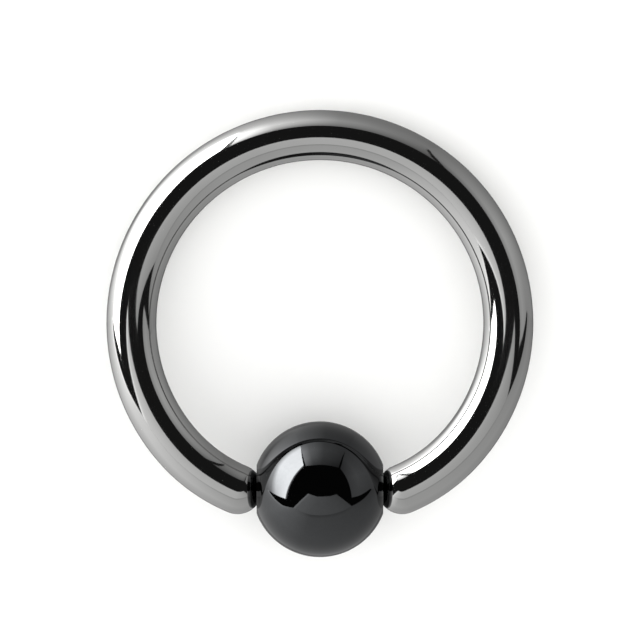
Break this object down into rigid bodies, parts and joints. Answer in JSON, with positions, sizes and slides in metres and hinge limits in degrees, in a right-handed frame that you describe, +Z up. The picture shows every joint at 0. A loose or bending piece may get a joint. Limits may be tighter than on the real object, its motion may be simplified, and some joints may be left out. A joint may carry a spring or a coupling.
{
  "type": "captive bead ring",
  "caption": "Body-jewellery ring of round polished steel wire whose domed ends hold a dark dimpled haematite bead.",
  "frame": {"origin": "on the surface that the ring lies on, in the middle of its footprint", "axes": "+Z up from the surface, +X along the line through the bead's two dimples, +Y from the bead towards the far side of the wire"},
  "size_m": [0.0136, 0.0142, 0.0044],
  "materials": {
    "polished_steel": "mirror-polished surgical steel",
    "haematite": "mirror-polished haematite"
  },
  "bodies": {
    "ring": {"wire_ring": "polished_steel"},
    "bead": {"captive_bead": "haematite"}
  },
  "joints": [
    {"name": "bead_spin", "type": "hinge", "parent": "ring", "child": "bead", "pos_m": [0, -0.00495, 0.00218], "axis": [1, 0, 0], "continuous": true}
  ]
}
